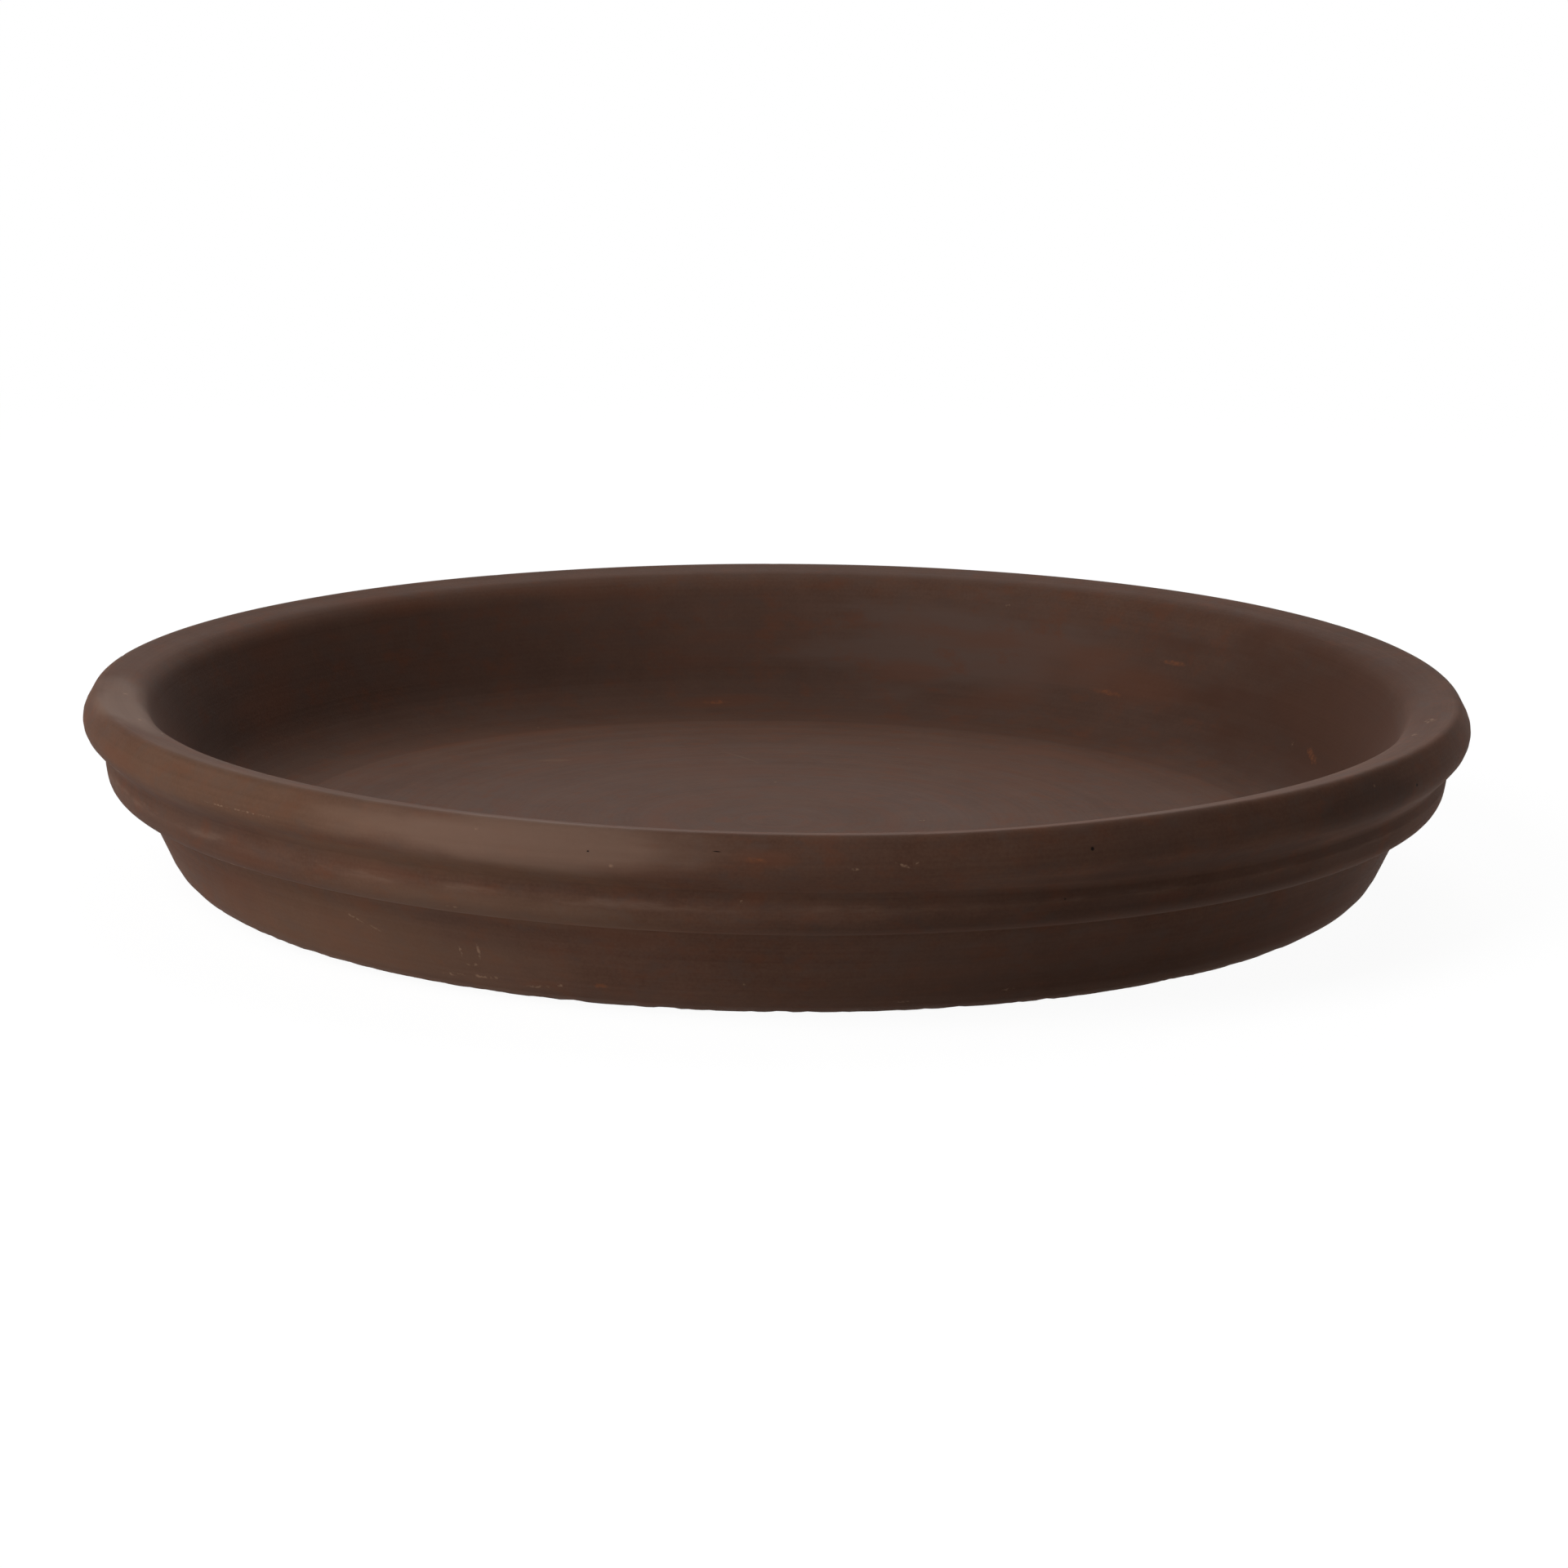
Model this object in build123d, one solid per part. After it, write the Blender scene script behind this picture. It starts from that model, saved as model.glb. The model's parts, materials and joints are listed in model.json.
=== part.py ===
from build123d import *

import math
import os

# Plant saucer: a shallow dish of fired clay, turned as one piece about the Z axis.
# Lengths are in millimetres and leans in degrees. The base stands on Z = 0, centred on the origin.

# Whole dish
overall_diameter = 305.0    # across the widest line of the rim
overall_height = 43.0       # from the table to the crown of the rim, at its highest

# Hollow
floor_thickness = 11.0
inner_wall_lean = 25.0      # off upright, opening towards the rim
cove_round = 16.0           # sweep from the floor up into the inner wall

# Rim
rim_width = 13.5            # from the inner lip out to the widest line
rim_top_slope = 14.3        # the top falls inwards, so that drips run back into the dish
lip_round = 3.0
crown_round = 2.0           # highest line of the rim
roll_drop = 5.7             # from the crown down to the widest line
roll_round = 4.4            # swell of the rim's outer face
roll_upper_lean = 28.5      # off upright, above the widest line
roll_lower_lean = 48.0      # off upright, where the roll is cut back to the groove

# Groove, and the band below it
groove_depth = 5.3          # in from the widest line
groove_drop = 2.9           # from the bottom of the groove down to the band's upper edge
band_stand = 0.5            # how far the band's upper edge stands out from the groove
band_face_height = 4.2
band_face_draw = 0.7        # how far the band's face draws in towards its lower edge
band_lower_round = 4.7
under_band_height = 2.1     # slope under the band
under_band_reach = 3.2
step_width = 3.6            # flat under the band, in to the wall
step_round = 5.3

# Wall and foot
wall_draft = 25.0           # off upright, narrowing towards the foot
foot_round = 11.8

# Straights keep this share of their length for the rounds at their two ends.
round_room_share = 0.98


def way(angle):
    """Unit vector in the section at this angle from straight out, turned towards the top."""
    return Vector(math.cos(math.radians(angle)), math.sin(math.radians(angle)))


def slope_of(angle):
    return math.tan(math.radians(angle))


def sharp_corner(centre, radius, first_facing, next_facing):
    """Corner between two faces that look these ways, whose round has this centre and radius."""
    middle = (way(first_facing) + way(next_facing)).normalized()
    return centre + middle * (radius / middle.dot(way(first_facing)))


def fitted_rounds(points, radii):
    """Radius of each corner's round, smaller than asked only where a straight is too short for it."""
    runs = [after - point for point, after in zip(points, points[1:] + points[:1])]
    turns = [before.get_angle(run) for before, run in zip(runs[-1:] + runs[:-1], runs)]
    reaches = [radius * slope_of(turn / 2) for radius, turn in zip(radii, turns)]
    rooms = []
    for run, near, far in zip(runs, reaches, reaches[1:] + reaches[:1]):
        wanted = max(near + far, run.length * round_room_share)
        rooms.append(run.length * round_room_share / wanted)
    return [radius * min(back, ahead) for radius, back, ahead in zip(radii, rooms[-1:] + rooms[:-1], rooms)]


def rim_corners():
    """Groove, roll, crown and lip, each as its sharp corner and its round. The groove is left sharp."""
    outer_radius = overall_diameter / 2
    roll_centre = Vector(outer_radius - roll_round, overall_height - roll_drop)
    roll = sharp_corner(roll_centre, roll_round, -roll_lower_lean, roll_upper_lean)

    # The crown's round touches the roll's upper face from inside and reaches the full height.
    crown_rise = roll_drop - crown_round
    crown_shift = roll_round - crown_round - crown_rise * math.sin(math.radians(roll_upper_lean))
    crown_shift = crown_shift / math.cos(math.radians(roll_upper_lean))
    crown_centre = roll_centre + Vector(crown_shift, crown_rise)
    upright = 90
    crown = sharp_corner(crown_centre, crown_round, roll_upper_lean, upright + rim_top_slope)

    lip_radius = outer_radius - rim_width
    lip = Vector(lip_radius, crown.Y - (crown.X - lip_radius) * slope_of(rim_top_slope))
    groove_radius = outer_radius - groove_depth
    groove = Vector(groove_radius, roll.Y - (roll.X - groove_radius) / slope_of(roll_lower_lean))
    return [(groove, 0), (roll, roll_round), (crown, crown_round), (lip, lip_round)]


def outer_corners(groove):
    """Foot, wall, step and band, from the table up to the groove."""
    band_upper = Vector(groove.X + band_stand, groove.Y - groove_drop)
    band_lower = Vector(band_upper.X - band_face_draw, band_upper.Y - band_face_height)
    step = Vector(band_lower.X - under_band_reach, band_lower.Y - under_band_height)
    wall_top = Vector(step.X - step_width, step.Y)
    foot = Vector(wall_top.X - wall_top.Y * slope_of(wall_draft), 0)
    return [
        (foot, foot_round),
        (wall_top, 0),
        (step, step_round),
        (band_lower, band_lower_round),
        (band_upper, 0),
    ]


def saucer_section():
    """Half section of the dish, from the axis out along the base, over the rim and back along the floor."""
    rim = rim_corners()
    groove = rim[0][0]
    lip = rim[-1][0]
    inner_foot = Vector(lip.X - (lip.Y - floor_thickness) * slope_of(inner_wall_lean), floor_thickness)
    corners = [(Vector(0, 0), 0)]
    corners += outer_corners(groove)
    corners += rim
    corners += [(inner_foot, cove_round), (Vector(0, floor_thickness), 0)]
    points = [point for point, radius in corners]
    radii = [radius for point, radius in corners]
    return make_face(FilletPolyline(*points, radius=fitted_rounds(points, radii), close=True))


saucer_body = revolve(Plane.XZ * saucer_section(), axis=Axis.Z)

os.makedirs("parts", exist_ok=True)
export_step(saucer_body, "parts/saucer_body.step")
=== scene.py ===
import json
from math import atan, cos, pi, radians, sin, tan

import bpy
from mathutils import Matrix, Vector


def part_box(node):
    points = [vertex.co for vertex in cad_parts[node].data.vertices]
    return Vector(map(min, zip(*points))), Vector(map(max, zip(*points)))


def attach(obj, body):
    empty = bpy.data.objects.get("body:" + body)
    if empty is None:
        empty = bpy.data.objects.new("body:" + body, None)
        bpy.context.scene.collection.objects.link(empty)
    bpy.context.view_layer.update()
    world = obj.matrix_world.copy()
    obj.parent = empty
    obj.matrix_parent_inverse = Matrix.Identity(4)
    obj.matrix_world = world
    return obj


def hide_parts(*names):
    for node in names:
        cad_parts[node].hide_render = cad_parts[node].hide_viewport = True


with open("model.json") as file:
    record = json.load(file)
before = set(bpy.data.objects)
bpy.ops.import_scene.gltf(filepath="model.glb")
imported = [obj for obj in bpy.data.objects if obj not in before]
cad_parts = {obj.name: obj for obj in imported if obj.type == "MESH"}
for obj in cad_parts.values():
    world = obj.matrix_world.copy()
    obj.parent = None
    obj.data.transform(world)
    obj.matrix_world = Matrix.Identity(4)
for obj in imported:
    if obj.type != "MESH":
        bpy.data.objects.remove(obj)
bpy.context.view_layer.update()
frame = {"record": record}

# A turned saucer of dark brown fired clay, seen on a white studio floor.
# Everything is in metres, in the frame of the solid: +Z up, the base on Z = 0, centred on the origin.

MM = 0.001
cad_low, cad_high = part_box("saucer_body")
mounts = {mount["name"]: mount for mount in frame["record"]["mounts"]}

# How far the kiln has pulled the rim out of level
TILT_ACROSS = 0.40 * MM
TILT_DEEP = -0.20 * MM
SADDLE_SQUARE = 0.13 * MM
SADDLE_DIAGONAL = 0.61 * MM
RIM_WAVE = 0.86 * MM            # highest point of the rim above its mean height
ROLL_SWELL = 0.75 * MM          # how far the crown rises where the roll is thickest
SWELL_AZIMUTH = 318

# Sizes of the turned section
SKIN_ROOM = 0.20 * MM           # room for the uneven skin inside the solid's outline
outer_radius = (cad_high.x - cad_low.x) / 2 - SKIN_ROOM
crown_height = cad_high.z - RIM_WAVE
floor_top = mounts["inner_floor"]["pos_m"][2]
RIM_WIDTH = 13.2 * MM
RIM_TOP_SLOPE = 9.5
LIP_ROUND = 7.0 * MM
CROWN_ROUND = 2.0 * MM
ROLL_DROP = 5.7 * MM
ROLL_ROUND = 4.4 * MM
ROLL_UPPER_LEAN = 28.5
ROLL_LOWER_LEAN = 48.0
GROOVE_DEPTH = 5.3 * MM
GROOVE_ROUND = 1.6 * MM
GROOVE_DROP = 2.9 * MM
BAND_STAND = 0.5 * MM
BAND_FACE_HEIGHT = 4.2 * MM
BAND_FACE_DRAW = 0.7 * MM
BAND_UPPER_ROUND = 1.6 * MM
BAND_LOWER_ROUND = 4.7 * MM
UNDER_BAND_HEIGHT = 2.1 * MM
UNDER_BAND_REACH = 3.2 * MM
STEP_WIDTH = 3.6 * MM
STEP_ROUND = 5.3 * MM
STEP_ROOT_ROUND = 0.6 * MM
WALL_DRAFT = 25.0
FOOT_ROUND = 11.8 * MM
INNER_WALL_LEAN = 25.0
COVE_ROUND = 16.0 * MM
FOOT_RING = 14.0 * MM           # fine steps of the mesh reach this far in under the foot
FLOOR_CHANNEL_DEPTH = 0.5 * MM  # shallow ring that the turning tool leaves at the foot of the inner wall
FLOOR_CHANNEL_WIDTH = 9.0 * MM
FLOOR_CHANNEL_ROUND = 30.0 * MM
EDGE_FADE = 1.4 * MM            # wear, and the painted shade and dirt of the creases, die out this far past the end of a round

# Turning, as shares of the rim's radius, heights above the table, and lengths along the section
WIDE_UNTIL = 0.74               # wide steps of the mesh end here, and fine ones are reached at the next share
FINE_FROM = 0.79
WELD = 0.004 * MM
HAND_SCALE = 14.0               # waves to a metre, for the noises of the skin
RING_AROUND = 7.0
RING_ACROSS = 420.0
CHIP_SCALE = 170.0
NICK_SCALE = 260.0
CHIP_LOW = 0.2 * MM             # chips are whole below this height and gone at the next
CHIP_HIGH = 2.4 * MM
CHIP_FROM = 112 * MM
CHIP_FULL = 120 * MM
CHIP_UNTIL = 150 * MM
SWELL_EDGE = 0.78               # how nearly a place faces the swell, where the swell starts and is whole
SWELL_FULL = 0.98
SWELL_LOW = 30 * MM
SWELL_HIGH = 42 * MM
SWELL_HANG = -0.8               # how far the roll's lower edge hangs, as a share of the crown's rise
SWELL_START = 26 * MM
SWELL_INNER = 0.86
SWELL_OUTER = 0.91
TABLE_ROOM = 0.4 * MM           # the base stays flat below this height


def wire(tree, socket, value):
    """Feeds a socket from another socket, or sets it to a plain value."""
    if isinstance(value, bpy.types.NodeSocket):
        tree.links.new(value, socket)
    else:
        socket.default_value = value


def add(tree, kind, fed=None, **settings):
    """Adds a node. fed maps its inputs, by name or number, to sockets or plain values."""
    node = tree.nodes.new(kind)
    for name, value in settings.items():
        setattr(node, name, value)
    for key, value in (fed or {}).items():
        wire(tree, node.inputs[key], value)
    return node


def calc(tree, operation, *values):
    node = add(tree, "ShaderNodeMath", dict(enumerate(values)), operation=operation)
    return node.outputs[0]


def product(tree, *values):
    result = values[0]
    for value in values[1:]:
        result = calc(tree, "MULTIPLY", result, value)
    return result


def total(tree, *values):
    result = values[0]
    for value in values[1:]:
        result = calc(tree, "ADD", result, value)
    return result


def ramp(tree, value, start, end, low=0.0, high=1.0):
    """Smooth step of a value from low, at start, to high, at end."""
    fed = {0: value, 1: start, 2: end, 3: low, 4: high}
    node = add(tree, "ShaderNodeMapRange", fed, interpolation_type="SMOOTHSTEP")
    return node.outputs[0]


def noise(tree, vector, scale, detail=2.0, roughness=0.5):
    """Even noise from about 0 to 1."""
    fed = {"Vector": vector, "Scale": scale, "Detail": detail, "Roughness": roughness}
    return add(tree, "ShaderNodeTexNoise", fed).outputs["Fac"]


def way(angle):
    """Unit vector in the section at this angle from straight out, turned towards the top."""
    return Vector((cos(radians(angle)), sin(radians(angle))))


def slope_of(angle):
    return tan(radians(angle))


def sharp_corner(centre, radius, first_facing, next_facing):
    """Corner between two faces that look these ways, whose round has this centre and radius."""
    middle = (way(first_facing) + way(next_facing)).normalized()
    return centre + middle * (radius / middle.dot(way(first_facing)))


def section_corners():
    """Half section from the axis out along the base, over the rim and back along the floor.
    Each corner has its place, its round, how far it wears, and how dark its crease is painted with shade and
    some dirt."""
    roll_centre = Vector((outer_radius - ROLL_ROUND, crown_height - ROLL_DROP))
    roll = sharp_corner(roll_centre, ROLL_ROUND, -ROLL_LOWER_LEAN, ROLL_UPPER_LEAN)
    crown_rise = ROLL_DROP - CROWN_ROUND
    crown_shift = ROLL_ROUND - CROWN_ROUND - crown_rise * sin(radians(ROLL_UPPER_LEAN))
    crown_shift /= cos(radians(ROLL_UPPER_LEAN))
    crown_centre = roll_centre + Vector((crown_shift, crown_rise))
    crown = sharp_corner(crown_centre, CROWN_ROUND, ROLL_UPPER_LEAN, 90 + RIM_TOP_SLOPE)
    lip_radius = outer_radius - RIM_WIDTH
    lip = Vector((lip_radius, crown.y - (crown.x - lip_radius) * slope_of(RIM_TOP_SLOPE)))
    groove_radius = outer_radius - GROOVE_DEPTH
    groove = Vector((groove_radius, roll.y - (roll.x - groove_radius) / slope_of(ROLL_LOWER_LEAN)))
    band_upper = groove + Vector((BAND_STAND, -GROOVE_DROP))
    band_lower = band_upper - Vector((BAND_FACE_DRAW, BAND_FACE_HEIGHT))
    step = band_lower - Vector((UNDER_BAND_REACH, UNDER_BAND_HEIGHT))
    wall_top = step - Vector((STEP_WIDTH, 0))
    foot = Vector((wall_top.x - wall_top.y * slope_of(WALL_DRAFT), 0))
    channel = floor_top - FLOOR_CHANNEL_DEPTH
    inner_foot = Vector((lip.x - (lip.y - channel) * slope_of(INNER_WALL_LEAN), channel))
    cove_reach = COVE_ROUND * slope_of((90 - INNER_WALL_LEAN) / 2)
    channel_middle = Vector((inner_foot.x - cove_reach - FLOOR_CHANNEL_WIDTH / 2, channel))
    floor_edge = Vector((channel_middle.x - FLOOR_CHANNEL_WIDTH, floor_top))
    # The last figure of each corner is how dark its crease is painted, mostly as shade and partly as dirt
    return [
        (Vector((0, 0)), 0, 0, 0),
        (foot - Vector((FOOT_RING, 0)), 0, 0, 0),
        (foot, FOOT_ROUND, 0.3, 0.2),
        (wall_top, STEP_ROOT_ROUND, 0, 0.7),
        (step, STEP_ROUND, 0.6, 0.1),
        (band_lower, BAND_LOWER_ROUND, 0.2, 0),
        (band_upper, BAND_UPPER_ROUND, 1, 0),
        (groove, GROOVE_ROUND, 0, 0.45),
        (roll, ROLL_ROUND, 0.3, 0),
        (crown, CROWN_ROUND, 0.6, 0),
        (lip, LIP_ROUND, 0.3, 0),
        (inner_foot, COVE_ROUND, 0, 0.5),
        (channel_middle, FLOOR_CHANNEL_ROUND, 0, 0.6),
        (floor_edge, FLOOR_CHANNEL_ROUND, 0.1, 0),
        (Vector((0, floor_top)), 0, 0, 0),
    ]


def section_chain():
    """The corners, with clean points beside the worn and crease-shaded ones, to keep the straights between
    clean.
    """
    corners = section_corners()
    reaches = []
    for index, (place, radius, wear, dirt_and_crease_shade) in enumerate(corners):
        bend = 0
        if radius:
            bend = (place - corners[index - 1][0]).angle(corners[index + 1][0] - place)
        reaches.append(radius * tan(bend / 2) + (EDGE_FADE if wear or dirt_and_crease_shade else 0))
    chain = []
    for index, corner in enumerate(corners):
        chain.append(corner)
        if index + 1 == len(corners):
            break
        run = corners[index + 1][0] - corner[0]
        stretch = run.normalized()
        if run.length > reaches[index] + reaches[index + 1] + EDGE_FADE:
            if reaches[index]:
                chain.append((corner[0] + stretch * reaches[index], 0, 0, 0))
            if reaches[index + 1]:
                chain.append((corners[index + 1][0] - stretch * reaches[index + 1], 0, 0, 0))
    return chain


def section_outline():
    """The section as a chain of edges in the XZ plane, with its rounds, wear, and painted crease shade and
    dirt on the corners.
    """
    corners = section_chain()
    outline = bpy.data.meshes.new("section_outline")
    points = [(place.x, 0, place.y) for place, *rest in corners]
    edges = [(index, index + 1) for index in range(len(points) - 1)]
    outline.from_pydata(points, edges, [])
    for column, name in enumerate(("round", "wear", "dirt_and_crease_shade"), start=1):
        layer = outline.attributes.new(name, "FLOAT", "POINT")
        layer.data.foreach_set("value", [corner[column] for corner in corners])
    return outline


def turning_tree():
    """Turns a section about Z, then warps it, rings it and chips its foot as clay is."""
    tree = bpy.data.node_groups.new("turned_clay", "GeometryNodeTree")
    sockets = [
        ("Section", "NodeSocketGeometry"),
        ("Steps around", "NodeSocketInt"),
        ("Steps in a round", "NodeSocketInt"),
        ("Fine step", "NodeSocketFloat"),
        ("Wide step", "NodeSocketFloat"),
        ("Rim height", "NodeSocketFloat"),
        ("Rim radius", "NodeSocketFloat"),
        ("Tilt across", "NodeSocketFloat"),
        ("Tilt deep", "NodeSocketFloat"),
        ("Saddle square", "NodeSocketFloat"),
        ("Saddle diagonal", "NodeSocketFloat"),
        ("Roll swell", "NodeSocketFloat"),
        ("Hand wave", "NodeSocketFloat"),
        ("Turning ridge", "NodeSocketFloat"),
        ("Foot chips", "NodeSocketFloat"),
        ("Edge nicks", "NodeSocketFloat"),
        ("Seed", "NodeSocketFloat"),
        ("Clay", "NodeSocketMaterial"),
    ]
    for name, kind in sockets:
        tree.interface.new_socket(name, in_out="INPUT", socket_type=kind)
    tree.interface.new_socket("Saucer", in_out="OUTPUT", socket_type="NodeSocketGeometry")
    given = add(tree, "NodeGroupInput").outputs

    def named(name):
        return add(tree, "GeometryNodeInputNamedAttribute", {"Name": name}, data_type="FLOAT").outputs[0]

    def place():
        parts = add(tree, "ShaderNodeSeparateXYZ", {0: add(tree, "GeometryNodeInputPosition").outputs[0]})
        return parts.outputs

    # Round the corners, then step along the straights: finely on the outside, widely on the floor and base
    chain = add(tree, "GeometryNodeMeshToCurve", {"Mesh": given["Section"]}).outputs[0]
    fed = {"Curve": chain, "Count": given["Steps in a round"], "Radius": named("round")}
    fed["Limit Radius"] = True
    rounded = add(tree, "GeometryNodeFilletCurve", fed, mode="POLY").outputs[0]
    here = add(tree, "GeometryNodeInputPosition").outputs[0]
    after = calc(tree, "ADD", add(tree, "GeometryNodeInputIndex").outputs[0], 1)
    there = add(tree, "GeometryNodeFieldAtIndex", data_type="FLOAT_VECTOR", domain="POINT")
    wire(tree, there.inputs["Value"], here)
    wire(tree, there.inputs["Index"], after)
    gap = add(tree, "ShaderNodeVectorMath", {0: here, 1: there.outputs[0]}, operation="DISTANCE")
    run = gap.outputs["Value"]
    nearness = calc(tree, "DIVIDE", place()["X"], given["Rim radius"])
    stride = add(tree, "ShaderNodeMapRange", {0: nearness, 1: WIDE_UNTIL, 2: FINE_FROM})
    wire(tree, stride.inputs[3], given["Wide step"])
    wire(tree, stride.inputs[4], given["Fine step"])
    cuts = calc(tree, "FLOOR", calc(tree, "DIVIDE", run, stride.outputs[0]))
    stepped = add(tree, "GeometryNodeSubdivideCurve", {"Curve": rounded, "Cuts": cuts}).outputs[0]

    # Turn the section: one row of a grid for each of its points, one column for each step around
    size = add(tree, "GeometryNodeAttributeDomainSize", {0: stepped}, component="CURVE")
    rows = size.outputs["Point Count"]
    columns = calc(tree, "ADD", given["Steps around"], 1)
    fed = {"Size X": 1.0, "Size Y": 1.0, "Vertices X": columns, "Vertices Y": rows}
    grid = add(tree, "GeometryNodeMeshGrid", fed).outputs["Mesh"]
    square = place()
    bearing = product(tree, total(tree, square["X"], 0.5), 2 * pi)
    row = calc(tree, "ROUND", product(tree, total(tree, square["Y"], 0.5), calc(tree, "SUBTRACT", rows, 1)))

    def sampled(value, kind):
        node = add(tree, "GeometryNodeSampleIndex", {"Geometry": stepped}, data_type=kind, domain="POINT")
        wire(tree, node.inputs["Value"], value)
        wire(tree, node.inputs["Index"], row)
        return node.outputs[0]

    spot = add(tree, "ShaderNodeSeparateXYZ", {0: sampled(here, "FLOAT_VECTOR")}).outputs
    along = sampled(add(tree, "GeometryNodeSplineParameter").outputs["Length"], "FLOAT")
    kept = grid
    for name, value in (("along", along), ("wear", sampled(named("wear"), "FLOAT")),
                        ("dirt_and_crease_shade", sampled(named("dirt_and_crease_shade"), "FLOAT")), ("level", spot["Z"])):
        fed = {"Geometry": kept, "Name": name, "Value": value}
        store = add(tree, "GeometryNodeStoreNamedAttribute", fed, data_type="FLOAT", domain="POINT")
        kept = store.outputs[0]
    turned = add(tree, "ShaderNodeCombineXYZ", {
        "X": product(tree, spot["X"], calc(tree, "COSINE", bearing)),
        "Y": product(tree, spot["X"], calc(tree, "SINE", bearing)),
        "Z": spot["Z"],
    }).outputs[0]
    dish = add(tree, "GeometryNodeSetPosition", {"Geometry": kept, "Position": turned}).outputs[0]
    dish = add(tree, "GeometryNodeMergeByDistance", {"Geometry": dish, "Distance": WELD}).outputs[0]

    # Uneven skin, along the normal: slow waves of the hand, and fine rings of the turning tool
    at = place()
    facing = add(tree, "GeometryNodeInputNormal").outputs[0]
    seeded = add(tree, "ShaderNodeCombineXYZ", {"X": at["X"], "Y": at["Y"],
                                                "Z": total(tree, at["Z"], given["Seed"])}).outputs[0]
    hand = calc(tree, "SUBTRACT", noise(tree, seeded, HAND_SCALE, 1.0), 0.5)
    hand = product(tree, hand, given["Hand wave"], 2.0)
    ringed = add(tree, "ShaderNodeCombineXYZ", {
        "X": product(tree, at["X"], RING_AROUND),
        "Y": product(tree, at["Y"], RING_AROUND),
        "Z": total(tree, product(tree, named("along"), RING_ACROSS), given["Seed"]),
    }).outputs[0]
    ring = calc(tree, "SUBTRACT", noise(tree, ringed, 1.0, 2.0), 0.5)
    ring = product(tree, ring, given["Turning ridge"], 2.0)

    # Chips knocked out of the foot, and smaller nicks out of the worn edges
    foot_mask = product(tree, ramp(tree, at["Z"], CHIP_LOW, CHIP_HIGH, 1.0, 0.0),
                        ramp(tree, named("along"), CHIP_FROM, CHIP_FULL))
    foot_mask = product(tree, foot_mask, calc(tree, "LESS_THAN", named("along"), CHIP_UNTIL))
    chip = ramp(tree, noise(tree, seeded, CHIP_SCALE, 3.0, 0.6), 0.42, 0.75)
    nick = product(tree, ramp(tree, noise(tree, seeded, NICK_SCALE, 2.0), 0.64, 0.80), named("wear"))
    depth = total(tree, hand, ring)
    depth = calc(tree, "SUBTRACT", depth, product(tree, foot_mask, chip, given["Foot chips"]))
    depth = calc(tree, "SUBTRACT", depth, product(tree, nick, given["Edge nicks"]))
    skin = add(tree, "ShaderNodeVectorMath", {0: facing, "Scale": depth}, operation="SCALE").outputs[0]

    # Kiln warp, from nothing at the base to full at the rim
    across = calc(tree, "DIVIDE", at["X"], given["Rim radius"])
    deep = calc(tree, "DIVIDE", at["Y"], given["Rim radius"])
    outness = calc(tree, "SQRT", total(tree, product(tree, across, across), product(tree, deep, deep)))
    square_part = calc(tree, "SUBTRACT", product(tree, across, across), product(tree, deep, deep))
    warp = total(
        tree,
        product(tree, across, given["Tilt across"]),
        product(tree, deep, given["Tilt deep"]),
        product(tree, square_part, given["Saddle square"]),
        product(tree, across, deep, given["Saddle diagonal"], 2.0),
    )
    lift = product(tree, warp, calc(tree, "DIVIDE", at["Z"], given["Rim height"]))

    # One stretch of the roll is thicker: its crown stands higher and its lower edge hangs lower
    towards = total(tree, product(tree, across, cos(radians(SWELL_AZIMUTH))),
                    product(tree, deep, sin(radians(SWELL_AZIMUTH))))
    swell = product(tree, ramp(tree, towards, SWELL_EDGE, SWELL_FULL), given["Roll swell"])
    fed = {0: at["Z"], 1: SWELL_LOW, 2: SWELL_HIGH, 3: SWELL_HANG, 4: 1.0}
    spread = add(tree, "ShaderNodeMapRange", fed).outputs[0]
    spread = product(tree, spread, ramp(tree, at["Z"], SWELL_START, SWELL_LOW),
                     ramp(tree, outness, SWELL_INNER, SWELL_OUTER))
    lift = total(tree, lift, product(tree, swell, spread))
    lifted = add(tree, "ShaderNodeCombineXYZ", {"Z": lift}).outputs[0]
    rested = add(tree, "ShaderNodeVectorMath", {0: skin, 1: lifted}, operation="ADD").outputs[0]
    off_table = ramp(tree, at["Z"], 0.0, TABLE_ROOM)
    fed = {0: rested, "Scale": off_table}
    rested = add(tree, "ShaderNodeVectorMath", fed, operation="SCALE").outputs[0]
    dish = add(tree, "GeometryNodeSetPosition", {"Geometry": dish, "Offset": rested}).outputs[0]
    dish = add(tree, "GeometryNodeSetShadeSmooth", {"Geometry": dish}).outputs[0]
    dish = add(tree, "GeometryNodeRealizeInstances", {"Geometry": dish}).outputs[0]
    dish = add(tree, "GeometryNodeSetMaterial", {"Geometry": dish, "Material": given["Clay"]}).outputs[0]
    add(tree, "NodeGroupOutput", {"Saucer": dish})
    return tree


# Colours of the clay, as linear shares of red, green and blue
DARK_CLAY = (0.100, 0.0480, 0.0310, 1)
PALE_CLAY = (0.142, 0.0725, 0.0485, 1)
RED_CLAY = (0.158, 0.0590, 0.0320, 1)
ORANGE_CLAY = (0.300, 0.1000, 0.0420, 1)
GREY_CLAY = (0.108, 0.0650, 0.0500, 1)
# Pale greyed tone for faded patches, and for the painted reflection and the painted sheen of the floor
FADED_AND_SHEEN_CLAY = (0.153, 0.0965, 0.0755, 1)
# Pale tone for rubbed edges, and for painted highlights and painted light towards the foot
WEAR_AND_LIGHT_TONE = (0.240, 0.1450, 0.1040, 1)
# Warm pale tone for painted light
PAINTED_LIGHT_TONE = (0.235, 0.1340, 0.0790, 1)
CHALK = (0.360, 0.2180, 0.1400, 1)
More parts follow.
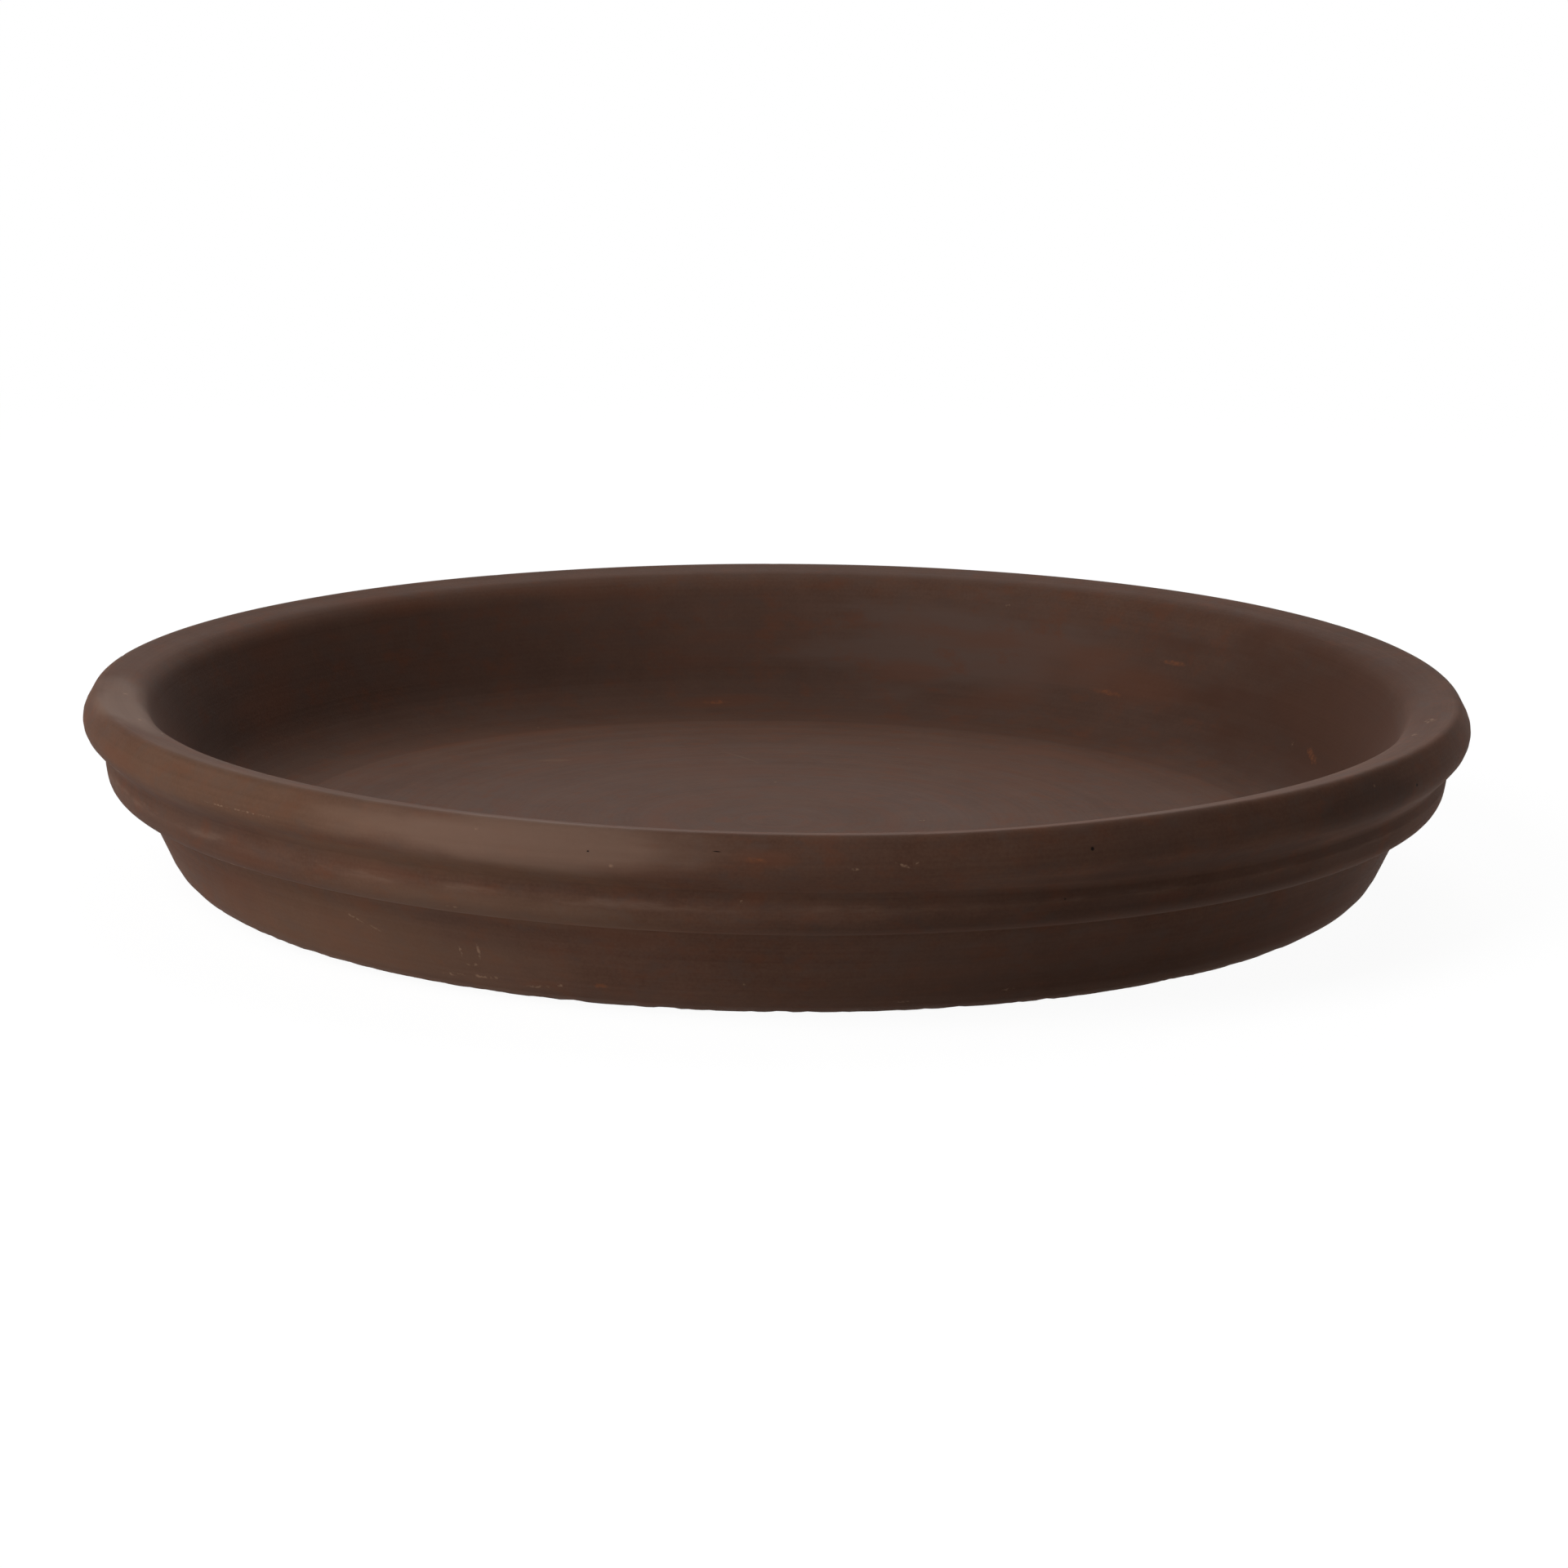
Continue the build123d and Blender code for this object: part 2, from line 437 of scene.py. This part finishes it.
# Dark tone for painted shade, and for the shade and dirt painted into the creases
SHADE_AND_GRIME_TONE = (0.035, 0.0200, 0.0150, 1)
# Near-black tone painted into pits as the shade inside them
PIT_SHADE_TONE = (0.012, 0.0070, 0.0055, 1)

# Marks on the clay, each as its azimuth in degrees, its length along the section from the middle of the
# base in mm, half its length around and half its height in mm, and its slope.
MARK_RADIUS = 150 * MM          # lengths around are measured at the rim
MARK_FROM = 327                 # azimuth that they are measured from, with the cut on the far side
INNER_FROM = 191 * MM           # the inner wall, from the lip to the floor
INNER_FULL = 197 * MM
FLOOR_FROM = 222 * MM
FLOOR_FULL = 236 * MM
FOOT_FROM = 146 * MM            # the foot, painted paler towards the table, in place of the light that the white floor throws up onto it
FOOT_FULL = 128 * MM
PITS = [
    (294.3, 175.7, 0.50, 0.50, 0),
    (331.2, 174.8, 0.60, 0.50, 0),
    (256.2, 175.8, 0.30, 0.20, 0),
    (265.8, 177.1, 1.10, 0.14, -0.05),
    (120.0, 176.0, 0.60, 0.50, 0),
    (48.0, 163.0, 0.60, 0.50, 0),
    (160.0, 141.0, 0.50, 0.60, 0),
]
CHALK_MARKS = [
    (276.0, 174.0, 0.90, 0.45, 0),
    (279.6, 174.6, 2.20, 0.32, -0.35),
    (280.3, 174.9, 1.30, 0.28, 0.30),
    (267.6, 164.0, 0.45, 0.45, 0),
    (267.6, 137.7, 0.40, 0.55, 0),
    (2.4, 314.0, 2.40, 0.90, 0),
    (66.0, 195.2, 0.70, 0.60, 0),
    (22.8, 214.2, 1.00, 1.00, 0),
    (258.0, 173.2, 0.60, 0.45, 0),
    (247.2, 178.1, 0.50, 0.35, 0),
    (231.6, 144.3, 3.20, 0.42, -0.35),
    (233.8, 142.6, 2.40, 0.42, -0.35),
    (242.4, 140.6, 0.50, 1.80, 0),
    (244.2, 141.0, 0.55, 2.00, 0),
    (243.2, 137.4, 1.60, 0.50, 0),
    (240.8, 133.8, 3.80, 0.60, 0.10),
    (244.2, 134.4, 3.80, 0.60, 0.05),
    (249.0, 133.2, 4.00, 0.60, 0.10),
    (251.4, 134.4, 2.20, 0.55, 0),
    (281.4, 132.4, 3.60, 0.32, -0.05),
    (291.0, 134.5, 2.60, 0.60, 0),
    (244.2, 158.1, 1.70, 0.35, -0.05),
    (224.0, 173.5, 13.0, 0.24, 0.02),
    (219.0, 156.1, 9.50, 0.38, 0.04),
    (203.4, 170.8, 4.50, 0.50, 0.02),
    (348.0, 186.3, 3.00, 1.60, 0),
    (342.0, 187.3, 2.60, 1.00, 0.05),
    (186.6, 187.3, 1.40, 0.80, 0.30),
    (198.0, 187.3, 2.60, 0.60, 0.20),
    (204.0, 188.6, 1.10, 0.60, 0),
    (135.0, 140.0, 4.00, 0.60, 0.20),
    (70.0, 136.0, 5.00, 0.50, -0.10),
]
ORANGE_MARKS = [
    (17.8, 215.0, 5.20, 1.20, -0.27),
    (255.0, 135.4, 2.20, 0.75, 0),
    (97.0, 223.8, 5.00, 1.00, 0.05),
    (45.0, 203.9, 4.50, 0.80, 0.03),
    (52.2, 213.6, 6.00, 0.80, -0.03),
    (268.8, 175.6, 2.60, 0.70, 0),
]
RED_PATCHES = [
    (76.0, 214.0, 16.0, 4.00, 0),
    (97.0, 223.5, 22.0, 3.50, 0),
    (48.0, 211.0, 30.0, 7.00, 0),
    (269.0, 175.8, 9.00, 3.00, 0),
    (205.0, 175.0, 18.0, 3.00, 0),
    (10.0, 206.0, 110.0, 26.0, 0),
    (188.0, 206.0, 50.0, 18.0, 0),
]
# Painted reflection of the key light on the inner wall at the back, right of centre
PAINTED_REFLECTION_PATCHES = [
    (70.0, 207.0, 62.0, 16.0, 0),
]
# Painted highlights: paler stretches of the roll and of the rim top at the left, in place of the key light's
# sheen and the light the floor throws up
PAINTED_HIGHLIGHT_PATCHES = [
    (250.0, 176.5, 58.0, 8.50, 0),
    (255.0, 176.5, 32.0, 5.50, 0),
    (191.0, 186.5, 40.0, 8.00, 0),
]
# Painted light: lower wall, roll, band and foot lightened in place of the light the white floor throws up onto
# them
PAINTED_LIGHT_PATCHES = [
    (230.0, 138.0, 68.0, 18.0, 0),
    (220.0, 177.0, 72.0, 11.0, 0),
    (243.0, 168.0, 62.0, 5.00, 0),
    (246.0, 156.5, 60.0, 9.00, 0),
    (316.0, 130.0, 76.0, 5.00, 0),
]
# Painted shade: the inner walls and the shaded right side of the roll and band are darkened in place of the
# shade they are in
PAINTED_SHADE_PATCHES = [
    (12.0, 206.0, 120.0, 34.0, 0),
    (4.0, 206.0, 70.0, 26.0, 0),
    (186.0, 206.0, 80.0, 22.0, 0),
    (298.0, 156.0, 100.0, 7.50, 0),
    (306.0, 168.5, 52.0, 4.50, 0),
    (324.0, 174.0, 26.0, 9.00, 0),
]
COOL_PATCHES = [
    (291.0, 143.0, 54.0, 10.0, 0),
    (244.0, 156.0, 46.0, 8.00, 0),
    (92.0, 187.0, 130.0, 7.00, 0),
]
FAINT_SMEARS = [
    (97.0, 281.0, 14.0, 0.90, -0.80),
    (131.0, 268.0, 9.00, 2.20, -0.30),
]


# How fully each tone covers the clay where it lies, from 0 to 1
GREY_SHARE = 0.45
GREY_FLECK_SHARE = 0.60
RED_SHARE = 0.40
RED_FLECK_SHARE = 0.48
RED_PATCH_SHARE = 0.45
PAINTED_REFLECTION_SHARE = 0.85
COOL_SHARE = 0.22
INNER_SHARE = 0.40
FLOOR_SHEEN_SHARE = 0.16
PAINTED_SHADE_SHARE = 0.48
PAINTED_HIGHLIGHT_SHARE = 0.66
PAINTED_LIGHT_SHARE = 0.22
FOOT_BOUNCE_SHARE = 0.16
RUBBED_SHARE = 0.40
CREASE_SHADE_AND_DIRT_SHARE = 0.40
SPECK_SHARE = 0.35
SCUFF_SHARE = 0.58
SMEAR_SHARE = 0.12
SMALL_PIT_SHADE_SHARE = 0.7
ORANGE_LEAST = 0.14
ORANGE_BROKEN = 0.30
SPECK_CHANCE = 0.91             # cells above this chance hold a speck, and those under the next a pit
PIT_CHANCE = 0.04
CELL_SCALE = 105.0
CLAY_ROUGHNESS = 0.76
CLAY_SPECULAR = 0.06
RELIEF_STRENGTH = 0.5
RELIEF_DEPTH = 0.16 * MM


def mixed(tree, share, first, second):
    """Colour between two others."""
    node = add(tree, "ShaderNodeMix", data_type="RGBA")
    wire(tree, node.inputs["Factor"], share)
    wire(tree, node.inputs[6], first)
    wire(tree, node.inputs[7], second)
    return node.outputs[2]


def swing(tree, value, amount):
    """A noise turned into a change about nothing."""
    return product(tree, calc(tree, "SUBTRACT", value, 0.5), amount)


def patchy(tree, vector, low, high, share, detail=3.0, roughness=0.5):
    """Ragged areas of a noise: bare where it is under low, and covered by this share above high."""
    return product(tree, ramp(tree, noise(tree, vector, 1.0, detail, roughness), low, high), share)


def marks(tree, unrolled, places, ragged):
    """A set of oval marks on the unrolled surface: 1 at the middle of each, 0 outside its ragged edge."""
    nearest = None
    for azimuth, along, half_length, half_height, slope in places:
        turn = radians((azimuth - MARK_FROM + 180) % 360 - 180)
        middle = (turn * MARK_RADIUS, along * MM, 0)
        reaches = (half_length * MM, half_height * MM, 1)
        if slope:
            fed = {"Vector": unrolled, "Location": middle, "Scale": reaches}
            fed["Rotation"] = (0, 0, atan(slope))
            mark = add(tree, "ShaderNodeMapping", fed, vector_type="TEXTURE").outputs[0]
        else:
            shares = [1 / reach for reach in reaches]
            shifts = [-place * share for place, share in zip(middle, shares)]
            fed = {0: unrolled, 1: shares, 2: shifts}
            mark = add(tree, "ShaderNodeVectorMath", fed, operation="MULTIPLY_ADD").outputs[0]
        away = add(tree, "ShaderNodeVectorMath", {0: mark}, operation="LENGTH").outputs["Value"]
        nearest = away if nearest is None else calc(tree, "MINIMUM", nearest, away)
    return ramp(tree, total(tree, nearest, ragged), 0.35, 1.0, 1.0, 0.0)


def fired_clay():
    """Matte dark brown clay, with the rings, streaks, stains, pits and scuffs of a used piece."""
    material = bpy.data.materials.new("brown_clay")
    material.use_nodes = True
    tree = material.node_tree
    shader = tree.nodes["Principled BSDF"]
    body = add(tree, "ShaderNodeTexCoord").outputs["Object"]
    spot = add(tree, "ShaderNodeSeparateXYZ", {0: body}).outputs
    start = radians(MARK_FROM)
    ahead = total(tree, product(tree, spot["X"], cos(start)), product(tree, spot["Y"], sin(start)))
    aside = total(tree, product(tree, spot["Y"], cos(start)), product(tree, spot["X"], -sin(start)))
    azimuth = calc(tree, "ARCTAN2", aside, ahead)

    def layer(name):
        return add(tree, "ShaderNodeAttribute", attribute_name=name).outputs["Fac"]

    along = layer("along")
    fed = {"X": product(tree, azimuth, MARK_RADIUS), "Y": along}
    unrolled = add(tree, "ShaderNodeCombineXYZ", fed).outputs[0]

    def turned(around, across, shift=0.0):
        """Place on the surface, stretched by these two scales, for noise that runs round with the wheel."""
        return add(tree, "ShaderNodeCombineXYZ", {
            "X": product(tree, spot["X"], around),
            "Y": product(tree, spot["Y"], around),
            "Z": total(tree, product(tree, along, across), shift),
        }).outputs[0]

    cloud = noise(tree, turned(15, 42, 3.1), 1.0, 3.0)
    mottle = noise(tree, body, 65.0, 5.0, 0.68)
    band_streak = noise(tree, turned(5, 240, 8.3), 1.0, 3.0)
    line_streak = noise(tree, turned(7, 1300, 1.7), 1.0, 2.0)
    grain = noise(tree, body, 1500.0, 2.0)
    fine_rag = swing(tree, noise(tree, body, 700.0, 2.0), 1.3)
    broad_rag = swing(tree, noise(tree, turned(40, 160, 5.0), 1.0, 3.0), 1.5)
    soft_rag = product(tree, broad_rag, 0.5)
    broken = ramp(tree, noise(tree, body, 1100.0, 2.0), 0.45, 0.62)

    # Body colour: slow clouds from the kiln, rings from the wheel and a fine grain, with grey, red and faded
    # tones, and painted reflection, sheen and shade
    tone = 0.5
    for pattern, amount in ((cloud, 1.2), (mottle, 1.7), (band_streak, 0.9), (line_streak, 0.7), (grain, 1.0)):
        tone = total(tree, tone, swing(tree, pattern, amount))
    color = mixed(tree, tone, DARK_CLAY, PALE_CLAY)
    greyed = patchy(tree, turned(18, 60, 12.0), 0.50, 0.75, GREY_SHARE)
    grey_fleck = patchy(tree, turned(150, 210, 21.0), 0.46, 0.70, GREY_FLECK_SHARE, 4.0, 0.65)
    color = mixed(tree, calc(tree, "MAXIMUM", greyed, grey_fleck), color, GREY_CLAY)
    # Painted reflection on the inner back wall
    painted_reflection = product(tree, marks(tree, unrolled, PAINTED_REFLECTION_PATCHES, broad_rag), PAINTED_REFLECTION_SHARE)
    cooled = product(tree, marks(tree, unrolled, COOL_PATCHES, broad_rag), COOL_SHARE)
    color = mixed(tree, calc(tree, "MAXIMUM", painted_reflection, cooled), color, FADED_AND_SHEEN_CLAY)
    inner = ramp(tree, along, INNER_FROM, INNER_FULL)
    inner = product(tree, inner, ramp(tree, along, FLOOR_FULL, FLOOR_FROM), INNER_SHARE)
    color = mixed(tree, inner, color, GREY_CLAY)
    # Painted sheen: the dish's floor is paler and greyer, in place of the light it catches seen at a grazing
    # angle
    painted_floor_sheen = product(tree, ramp(tree, along, FLOOR_FROM, FLOOR_FULL), FLOOR_SHEEN_SHARE)
    color = mixed(tree, painted_floor_sheen, color, FADED_AND_SHEEN_CLAY)
    flecked = patchy(tree, turned(24, 95, 6.0), 0.52, 0.74, RED_SHARE)
    red_fleck = patchy(tree, turned(130, 190, 33.0), 0.48, 0.72, RED_FLECK_SHARE, 4.0, 0.65)
    patched = product(tree, marks(tree, unrolled, RED_PATCHES, broad_rag), RED_PATCH_SHARE)
    reddened = calc(tree, "MAXIMUM", calc(tree, "MAXIMUM", flecked, red_fleck), patched)
    color = mixed(tree, reddened, color, RED_CLAY)
    # Painted shade on the inner walls and on the shaded side of the roll and band
    painted_shade = product(tree, marks(tree, unrolled, PAINTED_SHADE_PATCHES, soft_rag), PAINTED_SHADE_SHARE)
    color = mixed(tree, painted_shade, color, SHADE_AND_GRIME_TONE)

    # Painted highlights, and painted light on the lit stretches and towards the foot, rubbed edges, and
    # painted shade with some dirt in the creases
    # Painted highlight on the lit stretches of the roll and rim top
    painted_highlight = marks(tree, unrolled, PAINTED_HIGHLIGHT_PATCHES, soft_rag)
    painted_highlight = product(tree, painted_highlight, total(tree, PAINTED_HIGHLIGHT_SHARE, swing(tree, band_streak, 0.5)))
    color = mixed(tree, painted_highlight, color, WEAR_AND_LIGHT_TONE)
    # Painted light from the floor on the lower wall, roll, band and foot
    painted_light = product(tree, marks(tree, unrolled, PAINTED_LIGHT_PATCHES, soft_rag), PAINTED_LIGHT_SHARE)
    color = mixed(tree, painted_light, color, PAINTED_LIGHT_TONE)
    # Painted light: the wall grows paler towards the table, as if lit by the floor
    painted_floor_bounce = ramp(tree, along, FOOT_FROM, FOOT_FULL)
    painted_floor_bounce = product(tree, painted_floor_bounce, total(tree, FOOT_BOUNCE_SHARE, swing(tree, band_streak, 0.2)))
    color = mixed(tree, painted_floor_bounce, color, WEAR_AND_LIGHT_TONE)
    rubbed = ramp(tree, noise(tree, turned(60, 300, 2.0), 1.0, 4.0, 0.65), 0.42, 0.75)
    rubbed = product(tree, rubbed, ramp(tree, layer("wear"), 0.35, 1.0), RUBBED_SHARE)
    color = mixed(tree, rubbed, color, WEAR_AND_LIGHT_TONE)
    # Painted shade, with a little dirt: the groove, step root, foot, cove and floor channel are darkened where
    # less light reaches
    crease_shade_and_dirt = ramp(tree, layer("dirt_and_crease_shade"), 0.3, 1.0)
    crease_shade_and_dirt = product(tree, crease_shade_and_dirt, total(tree, CREASE_SHADE_AND_DIRT_SHARE, swing(tree, band_streak, 0.5)))
    color = mixed(tree, crease_shade_and_dirt, color, SHADE_AND_GRIME_TONE)

    # Small marks: chalky specks and scuffs, orange clay showing through, and pits painted dark with the shade
    # inside them
    cells = add(tree, "ShaderNodeTexVoronoi", {"Vector": body, "Scale": CELL_SCALE})
    chance = add(tree, "ShaderNodeSeparateColor", {0: cells.outputs["Color"]}).outputs["Red"]
    near = total(tree, cells.outputs["Distance"], product(tree, fine_rag, 0.03))
    speck = ramp(tree, near, 0.020, 0.050, 1.0, 0.0)
    speck = product(tree, speck, calc(tree, "GREATER_THAN", chance, SPECK_CHANCE), SPECK_SHARE)
    # Small pits, painted dark with their shade
    pit = ramp(tree, near, 0.020, 0.045, 1.0, 0.0)
    pit = product(tree, pit, calc(tree, "LESS_THAN", chance, PIT_CHANCE), SMALL_PIT_SHADE_SHARE)
    scuffed = product(tree, marks(tree, unrolled, CHALK_MARKS, fine_rag), broken, SCUFF_SHARE)
    smeared = product(tree, marks(tree, unrolled, FAINT_SMEARS, broad_rag), SMEAR_SHARE)
    chalk = calc(tree, "MAXIMUM", speck, scuffed)
    orange = total(tree, ORANGE_LEAST, product(tree, broken, ORANGE_BROKEN))
    orange = product(tree, marks(tree, unrolled, ORANGE_MARKS, fine_rag), orange)
    color = mixed(tree, orange, color, ORANGE_CLAY)
    color = mixed(tree, calc(tree, "MAXIMUM", chalk, smeared), color, CHALK)
    # Listed pits, painted dark with their shade, and also sunk into the relief
    pits_and_shade = marks(tree, unrolled, PITS, product(tree, fine_rag, 0.3))
    pits_and_shade = calc(tree, "MAXIMUM", pit, pits_and_shade)
    color = mixed(tree, pits_and_shade, color, PIT_SHADE_TONE)
    wire(tree, shader.inputs["Base Color"], color)

    roughness = total(tree, CLAY_ROUGHNESS, swing(tree, cloud, 0.12), swing(tree, grain, 0.10))
    roughness = total(tree, roughness, product(tree, painted_highlight, -0.10))
    wire(tree, shader.inputs["Roughness"], roughness)
    shader.inputs["Specular IOR Level"].default_value = CLAY_SPECULAR
    height = product(tree, line_streak, 0.45)
    for pattern, amount in ((grain, 0.35), (mottle, 0.5), (pits_and_shade, -1.5)):
        height = total(tree, height, product(tree, pattern, amount))
    fed = {"Height": height, "Strength": RELIEF_STRENGTH, "Distance": RELIEF_DEPTH}
    relief = add(tree, "ShaderNodeBump", fed)
    wire(tree, shader.inputs["Normal"], relief.outputs[0])
    return material


def turned_saucer(clay):
    """The whole dish, turned from its section and kept as one plain mesh."""
    blank = bpy.data.objects.new("section", section_outline())
    bpy.context.scene.collection.objects.link(blank)
    tree = turning_tree()
    turning = blank.modifiers.new("turning", "NODES")
    turning.node_group = tree
    values = {
        "Steps around": 560,
        "Steps in a round": 5,
        "Fine step": 1.3 * MM,
        "Wide step": 9.0 * MM,
        "Rim height": crown_height,
        "Rim radius": outer_radius,
        "Tilt across": TILT_ACROSS,
        "Tilt deep": TILT_DEEP,
        "Saddle square": SADDLE_SQUARE,
        "Saddle diagonal": SADDLE_DIAGONAL,
        "Roll swell": ROLL_SWELL,
        "Hand wave": 0.12 * MM,
        "Turning ridge": 0.05 * MM,
        "Foot chips": 0.5 * MM,
        "Edge nicks": 0.25 * MM,
        "Seed": 3.7,
        "Clay": clay,
    }
    for item in tree.interface.items_tree:
        if item.in_out == "INPUT" and item.name in values:
            turning[item.identifier] = values[item.name]
    bpy.context.view_layer.update()
    graph = bpy.context.evaluated_depsgraph_get()
    shaped = blank.evaluated_get(graph)
    mesh = bpy.data.meshes.new_from_object(shaped, preserve_all_data_layers=True, depsgraph=graph)
    blank.modifiers.remove(turning)
    bpy.data.objects.remove(blank)
    mesh.materials.clear()
    mesh.materials.append(clay)
    mesh.polygons.foreach_set("material_index", [0] * len(mesh.polygons))
    saucer = bpy.data.objects.new("clay_saucer", mesh)
    bpy.context.scene.collection.objects.link(saucer)
    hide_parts("saucer_body")
    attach(saucer, "root")
    return saucer


def seen_ray(tree):
    """1 on rays that the eye, a reflection or glass sees, 0 on rays that carry matte light."""
    path = add(tree, "ShaderNodeLightPath").outputs
    seen = calc(tree, "MAXIMUM", path["Is Camera Ray"], path["Is Glossy Ray"])
    return calc(tree, "MAXIMUM", seen, path["Is Transmission Ray"])


FLOOR_REACH = 1.6
FLOOR_GLOW = 0.95               # white of its own that the eye sees beside the saucer
FLOOR_SHADE = 0.14              # share of the lamps' light and shadow that is added to it
FLOOR_NEAR = 0.25               # past this distance the floor fades to plain white
FLOOR_FAR = 0.75


def studio_floor():
    """Round white floor. It takes the saucer's shadow, and fades to the plain white around it."""
    below = 0.1 * MM
    rim = [radians(turn) for turn in range(0, 360, 5)]
    mesh = bpy.data.meshes.new("studio_floor")
    corners = [(FLOOR_REACH * cos(turn), FLOOR_REACH * sin(turn), -below) for turn in rim]
    mesh.from_pydata(corners, [], [list(range(len(corners)))])
    floor = bpy.data.objects.new("studio_floor", mesh)
    bpy.context.scene.collection.objects.link(floor)
    paint = bpy.data.materials.new("floor_paint")
    paint.use_nodes = True
    tree = paint.node_tree
    tree.nodes.remove(tree.nodes["Principled BSDF"])
    matte = add(tree, "ShaderNodeBsdfDiffuse", {"Color": (0.9, 0.9, 0.9, 1)}).outputs[0]
    place = add(tree, "ShaderNodeTexCoord").outputs["Object"]
    away = add(tree, "ShaderNodeVectorMath", {0: place}, operation="LENGTH").outputs["Value"]
    white = ramp(tree, away, FLOOR_NEAR, FLOOR_FAR, FLOOR_GLOW / (1 - FLOOR_SHADE), 1.0)
    glow = add(tree, "ShaderNodeEmission", {"Color": (1, 1, 1, 1), "Strength": white}).outputs[0]
    share = product(tree, seen_ray(tree), ramp(tree, away, FLOOR_NEAR, FLOOR_FAR, 1 - FLOOR_SHADE, 1.0))
    lit = add(tree, "ShaderNodeMixShader", {0: share, 1: matte, 2: glow}).outputs[0]
    wire(tree, tree.nodes["Material Output"].inputs["Surface"], lit)
    mesh.materials.append(paint)
    return floor


def studio_world():
    """White to the eye and in reflections, and a dim even light on the object."""
    world = bpy.data.worlds.new("studio")
    bpy.context.scene.world = world
    world.use_nodes = True
    tree = world.node_tree
    ambient = 0.025
    strength = total(tree, product(tree, seen_ray(tree), 1 - ambient), ambient)
    wire(tree, tree.nodes["Background"].inputs["Color"], (1, 1, 1, 1))
    wire(tree, tree.nodes["Background"].inputs["Strength"], strength)


LIGHT_DISTANCE = 1.8
LIGHT_AIM = Vector((0, 0, 20 * MM))


def soft_light(name, azimuth, elevation, width, height, power):
    """Flat soft light that faces the saucer. Azimuth turns from +X towards +Y, and the camera is at 270."""
    data = bpy.data.lights.new(name, "AREA")
    data.shape = "RECTANGLE"
    data.size = width
    data.size_y = height
    data.energy = power
    light = bpy.data.objects.new(name, data)
    level = cos(radians(elevation))
    across = level * cos(radians(azimuth))
    deep = level * sin(radians(azimuth))
    way_out = Vector((across, deep, sin(radians(elevation))))
    light.location = LIGHT_AIM + way_out * LIGHT_DISTANCE
    light.rotation_euler = way_out.to_track_quat("Z", "Y").to_euler()
    bpy.context.scene.collection.objects.link(light)
    return light


# The camera, at the photograph's angle
CAMERA_DISTANCE = 1.2210
CAMERA_ELEVATION = 12.56
CAMERA_ROLL = 0.76
CAMERA_AIM = Vector((1.75 * MM, 0, 19.2 * MM))
CAMERA_LENS = 126.4             # on a sensor 36 mm wide


def photo_camera():
    data = bpy.data.cameras.new("camera")
    data.sensor_width = 36.0
    data.lens = CAMERA_LENS
    camera = bpy.data.objects.new("camera", data)
    forward = Vector((0, cos(radians(CAMERA_ELEVATION)), -sin(radians(CAMERA_ELEVATION))))
    right = Vector((1, 0, 0))
    up = right.cross(forward)
    tilted_right = right * cos(radians(CAMERA_ROLL)) + up * sin(radians(CAMERA_ROLL))
    tilted_up = up * cos(radians(CAMERA_ROLL)) - right * sin(radians(CAMERA_ROLL))
    turn = Matrix((tilted_right, tilted_up, -forward)).transposed()
    camera.matrix_world = Matrix.Translation(CAMERA_AIM - forward * CAMERA_DISTANCE) @ turn.to_4x4()
    bpy.context.scene.collection.objects.link(camera)
    bpy.context.scene.camera = camera


bpy.context.scene.view_settings.view_transform = "Standard"
photo_camera()
studio_world()
studio_floor()
soft_light("back_light", 90, 27, 1.4, 0.9, 8.3)
soft_light("left_low_light", 208, 6, 0.45, 0.28, 7.6)
soft_light("key_light", 222, 43, 0.9, 0.9, 12.6)
soft_light("right_low_light", 25, 6, 0.45, 0.28, 1.6)
soft_light("top_light", 60, 70, 1.0, 1.0, 4.2)
turned_saucer(fired_clay())
